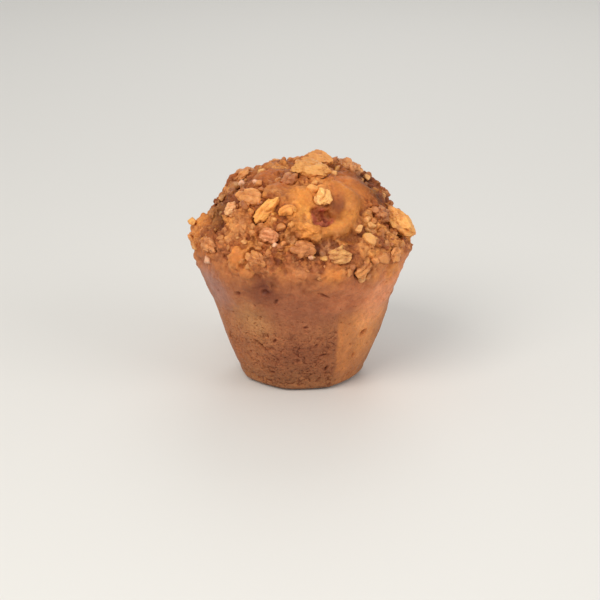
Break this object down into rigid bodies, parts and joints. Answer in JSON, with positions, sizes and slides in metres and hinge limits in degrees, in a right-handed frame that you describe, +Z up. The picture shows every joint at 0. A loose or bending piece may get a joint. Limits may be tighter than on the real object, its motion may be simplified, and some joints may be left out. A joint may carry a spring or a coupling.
{
  "type": "walnut crumble muffin",
  "caption": "Tall baked muffin with a tapered, softly faceted base, a browned uneven crown with a folded pit in front, and walnut pieces pressed into the top.",
  "frame": {"origin": "centre of the flat foot that the muffin stands on", "axes": "+Z up along the muffin's axis, -Y towards the pictured front, +X to its right"},
  "size_m": [0.0867, 0.0817, 0.0868],
  "materials": {
    "crust": "browned baked crust, darker and porous at the base, satin on the crown",
    "walnut": "toasted walnut kernel, pale broken faces and brown skin"
  },
  "bodies": {
    "root": {"crumb": "crust", "walnut_crest_a": "walnut", "walnut_crest_b": "walnut", "walnut_crest_c": "walnut", "walnut_crown": "walnut", "walnut_chunk": "walnut", "walnut_lobed": "walnut", "walnut_tan": "walnut", "walnut_pale": "walnut", "walnut_yellow": "walnut", "walnut_gold": "walnut", "walnut_right": "walnut", "walnut_brown": "walnut", "walnut_rim_a": "walnut", "walnut_rim_b": "walnut", "walnut_rim_c": "walnut", "walnut_rim_d": "walnut", "walnut_rim_e": "walnut", "walnut_pink": "walnut", "walnut_gutter": "walnut", "walnut_front": "walnut", "walnut_far_1": "walnut", "walnut_far_2": "walnut", "walnut_far_3": "walnut", "walnut_far_4": "walnut", "walnut_far_5": "walnut", "walnut_far_6": "walnut", "walnut_far_7": "walnut", "walnut_far_8": "walnut", "walnut_far_9": "walnut"}
  },
  "joints": []
}
